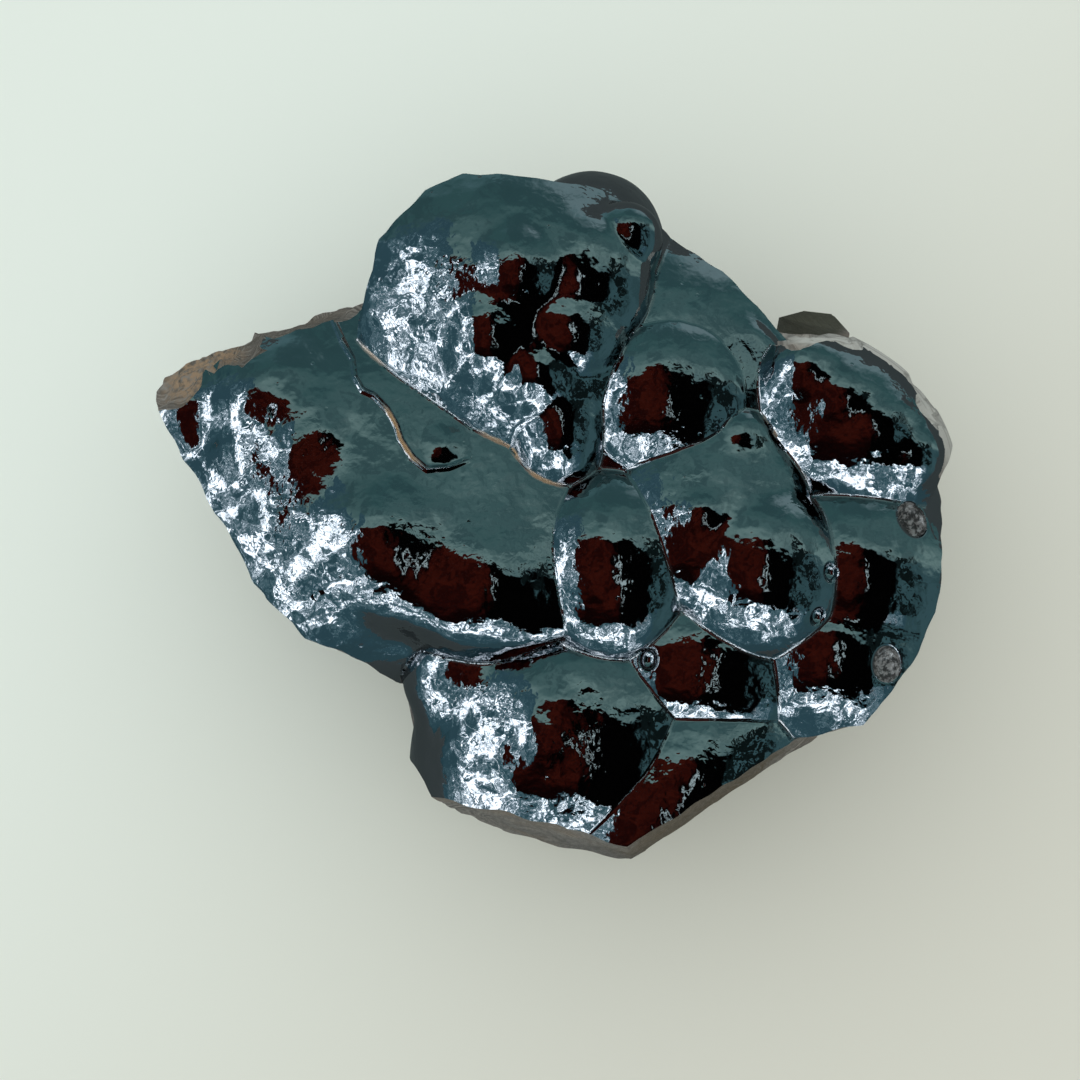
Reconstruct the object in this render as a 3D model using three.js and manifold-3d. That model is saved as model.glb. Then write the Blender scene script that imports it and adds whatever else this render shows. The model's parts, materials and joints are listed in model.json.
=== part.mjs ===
// Botryoidal hematite: one loose specimen, about 93 mm long, resting on its broken underside.
// The crown is a cluster of mirror-bright rounded lobes. Broken walls stand round parts of the
// crown, and the underside is broken too. Units are millimetres, +Z is up.
import * as THREE from 'three';
import { mergeVertices } from 'three/addons/utils/BufferGeometryUtils.js';
import { ConvexGeometry } from 'three/addons/geometries/ConvexGeometry.js';
import Module from 'manifold-3d';

const kernel = await Module();
kernel.setup();
const { Manifold, Mesh } = kernel;

// Driving sizes.
const FACET = 3.3; // edge of a facet on the lobes
const BREAK_CELL = 7.0; // cell of the rough broken faces
const TORN = { relief: 0.75, ledge: 0 }; // a rough break: how far it wanders, how far ledges stand out
const LEDGED = { relief: 0.55, ledge: 0.45 }; // a break across the growth layers
const CLEAN = { relief: 0.25, ledge: 0 }; // a clean break
const LEDGE_RISE = 3.1; // height of one ledge on a broken wall
const WALL_DATUM = 24; // height at which the walls' plan lines are given
const UNDER_DATUM = 20; // height at which the underside faces' distances are given
const UNDER_SEED = 31; // the underside faces' seeds follow from this one
const CROWN_TOP = 38; // height of the tallest lobe
const SQUASH = 0.62; // the crown's lobes are squashed toward that height by this much
const LAYER_RISE = 0.35; // thickness of the young growth layer at the slab's crown, before squashing
const ROOT_TAPER = 0.9; // width of a root's bottom over its top
const ROOT_BOTTOM = -1; // a root ends a little below the resting face

const up = new THREE.Vector3(0, 0, 1);
const radians = THREE.MathUtils.degToRad;

// A closed mesh made into a solid.
function toSolid(geometry) {
  const bare = new THREE.BufferGeometry();
  bare.setAttribute('position', geometry.getAttribute('position'));
  if (geometry.index) {
    bare.setIndex(geometry.index);
  }
  const joined = mergeVertices(bare, 1e-5);
  const mesh = new Mesh({
    numProp: 3,
    vertProperties: new Float32Array(joined.getAttribute('position').array),
    triVerts: new Uint32Array(joined.index.array),
  });
  return new Manifold(mesh);
}

// The direction that leans from straight up toward a compass angle (0 is +X, 90 is +Y).
function leanTurn(angle, toward) {
  const axis = new THREE.Vector3(-Math.sin(radians(toward)), Math.cos(radians(toward)), 0);
  return new THREE.Quaternion().setFromAxisAngle(axis, radians(angle));
}

// One rounded lobe: an ellipsoid given by its crown point, its three half sizes, a turn about
// the vertical, and a lean toward a compass angle, all before the crown is squashed.
function lobe([x, y, z], [a, b, c], turn = 0, [angle, toward] = [0, 0]) {
  const detail = Math.max(3, Math.round(Math.max(a, b) / FACET));
  const ball = new THREE.IcosahedronGeometry(1, detail);
  const pose = leanTurn(angle, toward);
  const spin = new THREE.Quaternion().setFromAxisAngle(up, radians(turn));
  const whole = pose.clone().multiply(spin);
  const centre = new THREE.Vector3(0, 0, -c).applyQuaternion(whole);
  centre.add(new THREE.Vector3(x, y, z));
  const place = new THREE.Matrix4().compose(centre, whole, new THREE.Vector3(a, b, c));
  ball.applyMatrix4(place);
  ball.scale(1, 1, SQUASH);
  ball.translate(0, 0, CROWN_TOP * (1 - SQUASH));
  return toSolid(ball);
}

// How far a broken face stands out at a place on it, before its relief is taken into account.
function breakRelief(across, upward, seed) {
  const broad = Math.sin(across * 0.23 + seed * 1.7) * Math.cos(upward * 0.19 + seed);
  const chips = Math.sin(across * 0.71 + upward * 0.52 + seed * 2.3);
  const fine = Math.sin(across * 1.37 - upward * 1.13 + seed * 4.1);
  return broad + 0.45 * chips + 0.3 * fine;
}

// Ledges of the broken growth layers, stepping in as they rise.
function ledges(across, upward, seed) {
  const height = upward + Math.sin(across * 0.14 + seed) * 1.6;
  return -Math.floor(height / LEDGE_RISE);
}

// Everything beyond a broken face. The face stands `at` from the middle toward the compass
// angle `toward`, at the datum height, and leans back by `lean` (negative leans under).
function beyond(toward, at, lean, datum, seed, kind) {
  const wide = 100;
  const high = 60;
  const deep = 40;
  const columns = Math.round(wide / BREAK_CELL);
  const rows = Math.round(high / BREAK_CELL);
  const points = [];
  const faces = [];
  const ring = (columns + 1) * (rows + 1);
  for (const back of [0, 1]) {
    for (let row = 0; row <= rows; row += 1) {
      for (let column = 0; column <= columns; column += 1) {
        const across = (column / columns - 0.5) * wide;
        const upward = (row / rows - 0.5) * high;
        const rough = kind.relief * breakRelief(across, upward, seed);
        const out = rough + kind.ledge * ledges(across, upward, seed);
        points.push(back ? deep : out, across, upward);
      }
    }
  }
  const at2 = (row, column) => row * (columns + 1) + column;
  for (let row = 0; row < rows; row += 1) {
    for (let column = 0; column < columns; column += 1) {
      const p = at2(row, column);
      const q = at2(row, column + 1);
      const r = at2(row + 1, column + 1);
      const s = at2(row + 1, column);
      faces.push(p, r, q, p, s, r);
      faces.push(p + ring, q + ring, r + ring, p + ring, r + ring, s + ring);
    }
  }
  const side = (p, q) => faces.push(p, q, q + ring, p, q + ring, p + ring);
  for (let column = 0; column < columns; column += 1) {
    side(at2(0, column), at2(0, column + 1));
    side(at2(rows, column + 1), at2(rows, column));
  }
  for (let row = 0; row < rows; row += 1) {
    side(at2(row + 1, 0), at2(row, 0));
    side(at2(row, columns), at2(row + 1, columns));
  }
  const slab = new THREE.BufferGeometry();
  slab.setAttribute('position', new THREE.Float32BufferAttribute(points, 3));
  slab.setIndex(faces);
  slab.rotateY(-radians(lean));
  slab.translate(at, 0, datum);
  slab.rotateZ(radians(toward));
  return toSolid(slab);
}

// Everything beyond a broken wall that runs between two points of the plan, clockwise round
// the stone.
function wall([x1, y1], [x2, y2], lean, seed, kind) {
  const toward = Math.atan2(x2 - x1, y1 - y2);
  const at = x1 * Math.cos(toward) + y1 * Math.sin(toward);
  return beyond(THREE.MathUtils.radToDeg(toward), at, lean, WALL_DATUM, seed, kind);
}

// A block with flat broken faces, from its corners.
function brokenBlock(corners) {
  return toSolid(new ConvexGeometry(corners.map((corner) => new THREE.Vector3(...corner))));
}

// The root of a block, under its lobes: it narrows a little toward the bottom.
function root(outline, top) {
  const middleX = outline.reduce((sum, [x]) => sum + x, 0) / outline.length;
  const middleY = outline.reduce((sum, [, y]) => sum + y, 0) / outline.length;
  const taper = (value, middle) => middle + (value - middle) * ROOT_TAPER;
  const narrow = ([x, y]) => [taper(x, middleX), taper(y, middleY), ROOT_BOTTOM];
  return brokenBlock([...outline.map(([x, y]) => [x, y, top]), ...outline.map(narrow)]);
}

// An upright prism over an outline.
function prism(outline, low, high) {
  const shape = new THREE.Shape(outline.map(([x, y]) => new THREE.Vector2(x, y)));
  const body = new THREE.ExtrudeGeometry(shape, { depth: high - low, bevelEnabled: false });
  body.translate(0, 0, low);
  return toSolid(body);
}

function cutAway(solid, cutters) {
  return cutters.reduce((left, cutter) => left.subtract(cutter), solid);
}

// The left block: a big smooth slab tipped away toward +Y, with lower lobes along its ridge.
const slabAt = (rise, lean) => lobe([-13, 12, 28 + rise], [30, 21.5, 8.5], -42, lean);
const leftLobes = [
  slabAt(0, [30.5, 77]),
  lobe([-31.5, 14, 28.2], [9.5, 8.5, 14], 0, [4, 100]),
  lobe([-41, 11.5, 23.3], [15, 15, 34]),
  lobe([-28, 8.6, 29.8], [6.5, 7.5, 10]),
  lobe([-37, 3.5, 25], [10.5, 11.2, 21], -30),
  lobe([-18.5, -4.5, 36.2], [10.5, 9.5, 13], -20),
  lobe([-8, -8.5, 36.4], [10.5, 9.5, 13], -15),
  lobe([-30, -2, 29.6], [14, 17, 33], 35),
  lobe([-25, -8, 31.6], [16, 15.3, 37], -30),
  lobe([-17.5, -14.5, 25], [5, 4, 10]),
];
// A younger growth layer lies on the slab next to the deep crease. It ends in a ragged step and
// thins out toward +X.
const layerOutline = [
  [-25.6, 24], [-24.2, 20.4], [-22.9, 17.9], [-22.5, 15.4], [-21.6, 13.8], [-20.2, 13.2],
  [-18.7, 11.6], [-17.7, 9.8], [-17.1, 8], [-15.7, 5.9], [-14.1, 4.5], [-11.6, 4.8],
  [-2, 9], [-2, 30], [-22, 30],
];
const layer = slabAt(LAYER_RISE, [31.7, 68.4]).intersect(prism(layerOutline, 5, 40));
const leftRoot = root([
  [-44, 13.3], [-39, 18.2], [-30, 21.5], [-22, 24.5], [-8, 14], [0, 2], [0, -12], [-17, -15],
  [-26, -13.5], [-34, -5], [-41, 5.5],
], 20);
const leftBlock = cutAway(Manifold.union([layer, leftRoot, ...leftLobes]), [
  wall([-46.1, 13.9], [-39.9, 18.2], 24, 1, LEDGED),
  wall([-40.3, 18.7], [-21.8, 24.8], 5, 2, LEDGED),
  wall([-32.4, -8.5], [-44.9, 12.2], -6, 3, CLEAN),
  wall([-27.3, -13.9], [-32.4, -8.5], -6, 4, CLEAN),
  wall([-21, -16.8], [-27.3, -13.9], -6, 5, CLEAN),
]);

// The front lobe, with a smaller one on its right shoulder and a broken wall in front.
const frontLobes = [
  lobe([1.3, -23.6, 34.5], [19.4, 18.5, 23], 0, [12, 110]),
  lobe([-12, -18.5, 28], [9, 8, 13], 0, [20, 190]),
  lobe([14, -33, 33.7], [22, 14, 20], 45, [4, 0]),
];
const frontRoot = root([
  [-17.5, -17.5], [-16, -25], [-13, -31], [-4, -34.5], [5, -37], [20, -28.5], [24, -20],
  [18, -8], [-4, -9],
], 20);
const frontBlock = cutAway(Manifold.union([frontRoot, ...frontLobes]), [
  wall([25.2, -28.2], [6.8, -40.2], 6, 6, CLEAN),
  wall([6.8, -38.4], [-11.8, -33.2], 6, 7, CLEAN),
  wall([-11.8, -33.4], [-17.6, -26], -4, 8, CLEAN),
]);

// The lobes in the middle of the crown.
const middleBlock = Manifold.union([
  lobe([5, -1.5, 34.4], [9.8, 12, 10], 0, [28, 113]),
  lobe([17, -17.7, 32.6], [14, 11.6, 14]),
  lobe([23.5, -7, 37.4], [10.3, 10.8, 12]),
  lobe([17, 5.5, 32.6], [12, 14, 9], 0, [29, 100]),
  lobe([16.8, -0.8, 35.5], [4.5, 4.5, 7], 0, [5, 90]),
  lobe([22.5, 9.8, 30.6], [6, 6, 9], 0, [35, 60]),
]);
// One lower lobe shows behind the tall block.
const hindLobe = lobe([4.6, 33.4, 29], [8.6, 8.1, 18]);

// The tall block at the back, its cluster of bubbles, and the strip along its broken edge.
const backLobes = [
  lobe([-4, 15.5, 33.8], [13, 12.5, 12], -30, [12, 230]),
  lobe([-4.8, 21.5, 36.6], [24, 19, 35], -45),
  lobe([-5.5, 26, 36.4], [25, 23.6, 38]),
  lobe([-4, 27, 38], [7, 7, 10]),
  lobe([-7, 20, 37.7], [6.6, 8, 10]),
  lobe([5, 29.3, 35.4], [10.5, 10.5, 13], 0, [26, 45]),
  lobe([9.5, 32.8, 33.2], [5, 5, 9], 0, [20, 45]),
  lobe([1.8, 20.5, 37], [7, 6.8, 10]),
  lobe([-2, 15.6, 36.8], [6.6, 6.6, 10]),
  lobe([0.6, 10.5, 34.2], [6.5, 9, 10]),
  lobe([14, 16.8, 32.6], [12, 12, 13.5], -20, [20, 75]),
  lobe([23, 23.5, 25], [22, 24, 22], 40, [42, 45]),
  lobe([22.1, 19.4, 27.4], [5.2, 3, 2.6], -34),
];
const backRoot = root([
  [-20, 25], [-18.5, 32.5], [-12.5, 37.5], [-4, 38], [6, 36.5], [11, 33.5], [22, 24.5],
  [26, 17.5], [20, 6], [-4, 4], [-15, 14],
], 21);
const backBlock = cutAway(Manifold.union([backRoot, ...backLobes]), [
  wall([11.7, 34.5], [18.8, 28.6], -3, 10, CLEAN),
  wall([18.8, 28.6], [25.1, 22.3], -3, 11, CLEAN),
  wall([-20.6, 26], [-19, 31.5], -4, 12, CLEAN),
  wall([-19, 31.5], [-14.3, 36.4], -4, 13, CLEAN),
  wall([-14.3, 36.4], [-9.6, 38.4], -4, 14, CLEAN),
  wall([-9.6, 38.4], [-2.5, 37.7], -4, 15, CLEAN),
]);

// The right block: an uneven row of small lobes behind, and a wide double lobe in front of it.
const rowBlock = cutAway(Manifold.union([
  lobe([29, 15.7, 32.8], [5, 5, 7]),
  lobe([32.8, 12.8, 33.3], [5, 5, 7]),
  lobe([36.8, 9.8, 32.9], [5, 5, 7]),
  lobe([40.6, 6.6, 31.4], [5.2, 5.2, 10]),
  lobe([34.8, 12.3, 32.2], [15.5, 11, 15.5], -38, [14, 52]),
]), [
  wall([27, 22.1], [38.4, 21.4], 14, 16, LEDGED),
  wall([38.4, 21.4], [44.5, 14.1], 14, 17, LEDGED),
  wall([45, 14.6], [46, 9], -2, 18, CLEAN),
  wall([46, 9], [43.2, 3.2], -4, 23, CLEAN),
]);
const rightLobes = [
  lobe([34.3, -7.2, 33], [18, 18, 35]),
  lobe([31.6, -16.2, 32.5], [18, 16, 30]),
];
const rightRoot = root([
  [22, 17], [30, 21], [37.5, 20], [43, 13.5], [44, 8], [43.5, -8], [40, -16], [34, -23],
  [26, -24.7], [16, -20], [12, 0],
], 20);
const rightBlock = cutAway(Manifold.union([rightRoot, ...rightLobes]), [
  wall([44.7, 5], [43.2, -9.5], -4, 19, CLEAN),
  wall([43.4, -9.5], [40.1, -17], -4, 20, CLEAN),
  wall([40.1, -17], [34.1, -23.9], -4, 21, CLEAN),
  wall([33.9, -23.6], [26, -25.3], -4, 22, CLEAN),
]);
// An angular broken block sticks out below the rim of the right block.
const jutting = brokenBlock([
  [27.2, 24.8, 19], [30.3, 26, 17.5], [33.8, 25.7, 17], [35.4, 22.8, 19.5],
  [34, 14, 22], [25, 14, 22], [28, 22.5, 8], [33.5, 22, 7], [33, 13, 6], [26, 13, 6],
]);

// The heart of the stone fills the room between the lobes and the roots.
const heart = brokenBlock([
  [-36, 8, 22], [-27, 18, 22], [-20, 21, 22], [-24, 2, 28], [-18, -12, 25], [-12, -12, 28],
  [0, -30, 28], [10, -30, 28], [26, -18, 28], [36, -8, 27], [36, 8, 27], [22, 14, 28],
  [4, 32, 28], [-12, 26, 28], [-30, 12, 10], [-20, -11, 16], [-12, -12, 10], [6, -28, 10],
  [34, -10, 10], [30, 12, 10], [0, 30, 10],
]);

// The broken underside: rough faces that lean in toward the face that the stone rests on.
const underside = [
  [0, 45.6, -26], [30, 44.6, -31], [60, 42, -36], [90, 38.6, -33], [120, 38.2, -27],
  [150, 45.4, -36], [180, 44.8, -34], [210, 35.5, -27], [240, 36, -31], [270, 39.5, -28],
  [300, 38.5, -33], [330, 42.6, -27],
].map(([toward, at, lean], i) => beyond(toward, at, lean, UNDER_DATUM, UNDER_SEED + i, TORN));
const belowRest = new THREE.BoxGeometry(160, 160, 60);
belowRest.translate(0, 0, -30);
const restingFace = toSolid(belowRest);

// Small chips knocked out of the lobes and a few shallow pits.
const chips = [
  [[40.6, -1, 31.5], 1.9], [[37.5, -17.3, 33.4], 1.7], [[-31.7, 11.5, 32.7], 1.1],
  [[10.8, -16.8, 33.7], 1.1], [[31.2, -7.2, 35.2], 0.9], [[29.6, -12.2, 35], 0.9],
];
function scoop([x, y, z], size) {
  const ball = new THREE.IcosahedronGeometry(size, 2);
  ball.scale(1, 1.2, 1);
  ball.translate(x, y, z);
  return toSolid(ball);
}
const scoops = chips.map(([at, size]) => scoop(at, size));

const crown = [leftBlock, frontBlock, middleBlock, hindLobe, backBlock, rowBlock, rightBlock];
const whole = Manifold.union([...crown, jutting, heart]);
const stone = cutAway(whole, [...underside, restingFace, ...scoops]);
const finished = stone.getMesh();

const geometry = new THREE.BufferGeometry();
const xyz = new Float32Array(finished.numVert * 3);
for (let i = 0; i < finished.numVert; i += 1) {
  for (let k = 0; k < 3; k += 1) {
    xyz[i * 3 + k] = finished.vertProperties[i * finished.numProp + k];
  }
}
geometry.setAttribute('position', new THREE.BufferAttribute(xyz, 3));
geometry.setIndex(new THREE.BufferAttribute(new Uint32Array(finished.triVerts), 1));

// The middle of the plan stands over the origin, and the resting face lies at zero height.
geometry.computeBoundingBox();
const middle = geometry.boundingBox.getCenter(new THREE.Vector3());
geometry.translate(-middle.x, -middle.y, 0);
geometry.computeVertexNormals();

const steel = new THREE.MeshStandardMaterial({ color: 0x2a3236, metalness: 1, roughness: 0.25 });
steel.flatShading = true;
const hematite = new THREE.Mesh(geometry, steel);
hematite.name = 'hematite';

const part = new THREE.Group();
part.name = 'botryoidal_hematite';
part.add(hematite);

export default part;
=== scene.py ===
"""Botryoidal hematite: the fine surface, materials, light and camera.

Sizes are millimetres until the mesh is made, then metres.
"""
import json
import math

import bmesh
import bpy
import numpy as np
from mathutils import Matrix, Vector, kdtree

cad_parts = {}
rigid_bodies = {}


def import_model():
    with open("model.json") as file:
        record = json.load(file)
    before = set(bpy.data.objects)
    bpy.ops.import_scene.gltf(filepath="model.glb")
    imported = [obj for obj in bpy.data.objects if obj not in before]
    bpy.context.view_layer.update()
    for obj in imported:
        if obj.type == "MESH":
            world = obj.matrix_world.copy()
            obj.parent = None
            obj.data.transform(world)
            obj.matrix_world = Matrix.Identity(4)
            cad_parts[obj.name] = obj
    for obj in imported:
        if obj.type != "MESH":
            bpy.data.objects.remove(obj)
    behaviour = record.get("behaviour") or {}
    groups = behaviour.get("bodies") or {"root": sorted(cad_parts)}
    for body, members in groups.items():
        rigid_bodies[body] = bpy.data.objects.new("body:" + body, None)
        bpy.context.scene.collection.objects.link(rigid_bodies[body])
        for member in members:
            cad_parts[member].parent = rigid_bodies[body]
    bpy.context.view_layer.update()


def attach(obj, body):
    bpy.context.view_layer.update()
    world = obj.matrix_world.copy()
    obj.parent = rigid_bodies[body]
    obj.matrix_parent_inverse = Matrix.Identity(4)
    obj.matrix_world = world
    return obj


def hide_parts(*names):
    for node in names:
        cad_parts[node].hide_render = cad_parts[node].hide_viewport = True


MM = 0.001
SEAT = (0.345, -0.939, 0.0)   # the middle of the plan stands over the origin
WALL_DATUM = 24.0
UNDER_DATUM = 20.0
CROWN_TOP = 38.0
SQUASH = 0.62
LAYER_RISE = 0.35
ROOT_TAPER = 0.9
ROOT_BOTTOM = -1.0
LARGE_LOBE = 16.0        # a lobe wider than this, in half sizes, gets a finer ball
LEDGE_HEIGHT = 3.1       # between the ledges of a torn wall
FACE_CELL = 1.0          # grid of a broken face
TOUCHING = 0.02          # a face this close to a lobe belongs to it
ALIGNED = 0.97           # and faces the same way as its surface
MELT_ROUNDS = 6
MELT_STEP = 0.8          # the furthest that a point moves in one round
MELT_REACH = 1.6         # and in all; a point that would go further stays as cut
LONE_BLEND = 0.05        # softness of a group that has none of its own
LIP_POINTS = 13          # how much of the young layer's outline is its open edge
RISER_REACH = 0.12       # a rough face this close to that edge is the layer's own side
RISER_FLOOR = 22.0
SHARP_EDGE = 0.5         # a corner that turns further than this cosine isn't smoothed
SIDE_STEEP = 0.60        # a face of the right row this steep is broken, not grown
SIDE_PITCH = 0.7         # growth bands for each millimetre down that side
FILLET = 0.30            # width of the rounding in a crease
CREASE_STEPS = (0.0, 0.25, 0.5, 0.75)
# The wander of the whole surface: how far, over what distance.
WANDER = [(0.16, 7.0, 0), (0.045, 2.6, 40)]
FAR_OUT = 80.0
TINY = 1e-12
# The dark opening overhead, in slopes of the surface that reflects it.
OPENING_U = (-0.42, 0.54)
OPENING_V = (-0.42, 0.40)
HALF_FRAME = 0.06155

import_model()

# Lobes: group, crown point, half sizes, turn about the vertical, (lean, toward). The lobes of one
# group run smoothly into each other.
SLAB = ((-13, 12, 28), (30, 21.5, 8.5), -42, (30.5, 77))
LAYER = ((-13, 12, 28 + LAYER_RISE), (30, 21.5, 8.5), -42, (31.7, 68.4))
LAYER_OUTLINE = [
    (-25.6, 24), (-24.2, 20.4), (-22.9, 17.9), (-22.5, 15.4), (-21.6, 13.8), (-20.2, 13.2),
    (-18.7, 11.6), (-17.7, 9.8), (-17.1, 8), (-15.7, 5.9), (-14.1, 4.5), (-11.6, 4.8),
    (-2, 9), (-2, 30), (-22, 30),
]
LEFT = [
    ("L", *SLAB),
    ("L", (-31.5, 14, 28.2), (9.5, 8.5, 14), 0, (4, 100)),
    ("L", (-41, 11.5, 23.3), (15, 15, 34)),
    ("L", (-28, 8.6, 29.8), (6.5, 7.5, 10)),
    ("L", (-37, 3.5, 25), (10.5, 11.2, 21), -30),
    ("L", (-18.5, -4.5, 36.2), (10.5, 9.5, 13), -20),
    ("L", (-8, -8.5, 36.4), (10.5, 9.5, 13), -15),
    ("L", (-30, -2, 29.6), (14, 17, 33), 35),
    ("L", (-25, -8, 31.6), (16, 15.3, 37), -30),
    ("L", (-17.5, -14.5, 25), (5, 4, 10)),
]
FRONT = [
    ("B", (1.3, -23.6, 34.5), (19.4, 18.5, 23), 0, (12, 110)),
    ("B", (-12, -18.5, 28), (9, 8, 13), 0, (20, 190)),
    ("C", (14, -33, 33.7), (22, 14, 20), 45, (4, 0)),
]
MIDDLE = [
    ("K", (5, -1.5, 34.4), (9.8, 12, 10), 0, (28, 113)),
    ("Q", (17, -17.7, 32.6), (14, 11.6, 14)),
    ("M", (23.5, -7, 37.4), (10.3, 10.8, 12)),
    ("M", (17, 5.5, 32.6), (12, 14, 9), 0, (29, 100)),
    ("M", (16.8, -0.8, 35.5), (4.5, 4.5, 7), 0, (5, 90)),
    ("M", (22.5, 9.8, 30.6), (6, 6, 9), 0, (35, 60)),
]
HIND = [("N", (4.6, 33.4, 29), (8.6, 8.1, 18))]
BACK = [
    ("U", (-4, 15.5, 33.8), (13, 12.5, 12), -30, (12, 230)),
    ("U", (-4.8, 21.5, 36.6), (24, 19, 35), -45),
    ("U", (-5.5, 26, 36.4), (25, 23.6, 38)),
    ("U", (-4, 27, 38), (7, 7, 10)),
    ("U", (-7, 20, 37.7), (6.6, 8, 10)),
    ("U", (5, 29.3, 35.4), (10.5, 10.5, 13), 0, (26, 45)),
    ("U", (9.5, 32.8, 33.2), (5, 5, 9), 0, (20, 45)),
    ("U", (1.8, 20.5, 37), (7, 6.8, 10)),
    ("U", (-2, 15.6, 36.8), (6.6, 6.6, 10)),
    ("U", (0.6, 10.5, 34.2), (6.5, 9, 10)),
    ("T", (14, 16.8, 32.6), (12, 12, 13.5), -20, (20, 75)),
    ("V", (23, 23.5, 25), (22, 24, 22), 40, (42, 45)),
    ("V", (22.1, 19.4, 27.4), (5.2, 3, 2.6), -34),
]
ROW = [
    ("R", (29, 15.7, 32.8), (5, 5, 7)),
    ("R", (32.8, 12.8, 33.3), (5, 5, 7)),
    ("R", (36.8, 9.8, 32.9), (5, 5, 7)),
    ("R", (40.6, 6.6, 31.4), (5.2, 5.2, 10)),
    ("R", (34.8, 12.3, 32.2), (15.5, 11, 15.5), -38, (14, 52)),
]
RIGHT = [
    ("S", (34.3, -7.2, 33), (18, 18, 35)),
    ("S", (31.6, -16.2, 32.5), (18, 16, 30)),
]
BLEND = {"L": 0.8, "B": 0.8, "U": 0.3, "M": 0.3, "R": 0.4, "S": 0.25, "V": 0.3}
SCOOPS = [
    ((40.6, -1, 31.5), 1.9), ((37.5, -17.3, 33.4), 1.7), ((-31.7, 11.5, 32.7), 1.1),
    ((10.8, -16.8, 33.7), 1.1), ((31.2, -7.2, 35.2), 0.9), ((29.6, -12.2, 35), 0.9),
]
# Kinds of break: how far it wanders, how far its ledges stand out.
TORN, LEDGED, CLEAN = (0.75, 0.0), (0.55, 0.45), (0.25, 0.0)
# Broken walls: from and to in plan, lean, seed, kind.
WALLS = {
    "left": [((-46.1, 13.9), (-39.9, 18.2), 24, 1, LEDGED), ((-40.3, 18.7), (-21.8, 24.8), 5, 2, LEDGED),
             ((-32.4, -8.5), (-44.9, 12.2), -6, 3, CLEAN), ((-27.3, -13.9), (-32.4, -8.5), -6, 4, CLEAN),
             ((-21, -16.8), (-27.3, -13.9), -6, 5, CLEAN)],
    "front": [((25.2, -28.2), (6.8, -40.2), 6, 6, CLEAN), ((6.8, -38.4), (-11.8, -33.2), 6, 7, CLEAN),
              ((-11.8, -33.4), (-17.6, -26), -4, 8, CLEAN)],
    "back": [((11.7, 34.5), (18.8, 28.6), -3, 10, CLEAN), ((18.8, 28.6), (25.1, 22.3), -3, 11, CLEAN),
             ((-20.6, 26), (-19, 31.5), -4, 12, CLEAN), ((-19, 31.5), (-14.3, 36.4), -4, 13, CLEAN),
             ((-14.3, 36.4), (-9.6, 38.4), -4, 14, CLEAN), ((-9.6, 38.4), (-2.5, 37.7), -4, 15, CLEAN)],
    "row": [((27, 22.1), (38.4, 21.4), 14, 16, LEDGED), ((38.4, 21.4), (44.5, 14.1), 14, 17, LEDGED),
            ((45, 14.6), (46, 9), -2, 18, CLEAN), ((46, 9), (43.2, 3.2), -4, 23, CLEAN)],
    "right": [((44.7, 5), (43.2, -9.5), -4, 19, CLEAN), ((43.4, -9.5), (40.1, -17), -4, 20, CLEAN),
              ((40.1, -17), (34.1, -23.9), -4, 21, CLEAN), ((33.9, -23.6), (26, -25.3), -4, 22, CLEAN)],
}
ROOTS = {
    "left": ([(-44, 13.3), (-39, 18.2), (-30, 21.5), (-22, 24.5), (-8, 14), (0, 2), (0, -12), (-17, -15),
              (-26, -13.5), (-34, -5), (-41, 5.5)], 20),
    "front": ([(-17.5, -17.5), (-16, -25), (-13, -31), (-4, -34.5), (5, -37), (20, -28.5), (24, -20),
               (18, -8), (-4, -9)], 20),
    "back": ([(-20, 25), (-18.5, 32.5), (-12.5, 37.5), (-4, 38), (6, 36.5), (11, 33.5), (22, 24.5),
              (26, 17.5), (20, 6), (-4, 4), (-15, 14)], 21),
    "right": ([(22, 17), (30, 21), (37.5, 20), (43, 13.5), (44, 8), (43.5, -8), (40, -16),
               (34, -23), (26, -24.7), (16, -20), (12, 0)], 20),
}
UNDERSIDE = [
    (0, 45.6, -26), (30, 44.6, -31), (60, 42, -36), (90, 38.6, -33), (120, 38.2, -27),
    (150, 45.4, -36), (180, 44.8, -34), (210, 35.5, -27), (240, 36, -31), (270, 39.5, -28),
    (300, 38.5, -33), (330, 42.6, -27),
]
UNDER_SEED = 31
JUTTING = [
    (27.2, 24.8, 19), (30.3, 26, 17.5), (33.8, 25.7, 17), (35.4, 22.8, 19.5),
    (34, 14, 22), (25, 14, 22), (28, 22.5, 8), (33.5, 22, 7), (33, 13, 6), (26, 13, 6),
]
HEART = [
    (-36, 8, 22), (-27, 18, 22), (-20, 21, 22), (-24, 2, 28), (-18, -12, 25), (-12, -12, 28),
    (0, -30, 28), (10, -30, 28), (26, -18, 28), (36, -8, 27), (36, 8, 27), (22, 14, 28),
    (4, 32, 28), (-12, 26, 28), (-30, 12, 10), (-20, -11, 16), (-12, -12, 10), (6, -28, 10),
    (34, -10, 10), (30, 12, 10), (0, 30, 10),
]

scene = bpy.context.scene
scratch = bpy.data.collections.new("scratch")
scene.collection.children.link(scratch)


# ---------------------------------------------------------------- solids
def turned(turn=0, lean=(0, 0)):
    angle, toward = math.radians(lean[0]), math.radians(lean[1])
    axis = Vector((-math.sin(toward), math.cos(toward), 0))
    pose = Matrix.Rotation(angle, 3, axis) @ Matrix.Rotation(math.radians(turn), 3, "Z")
    return np.array(pose)


def lobe(crown, radii, turn=0, lean=(0, 0), flat=SQUASH):
    pose = turned(turn, lean)
    radii = np.array(radii, float)
    centre = np.array(crown, float) - pose @ np.array([0, 0, radii[2]])
    return centre, radii, pose, flat


balls = {}


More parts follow.
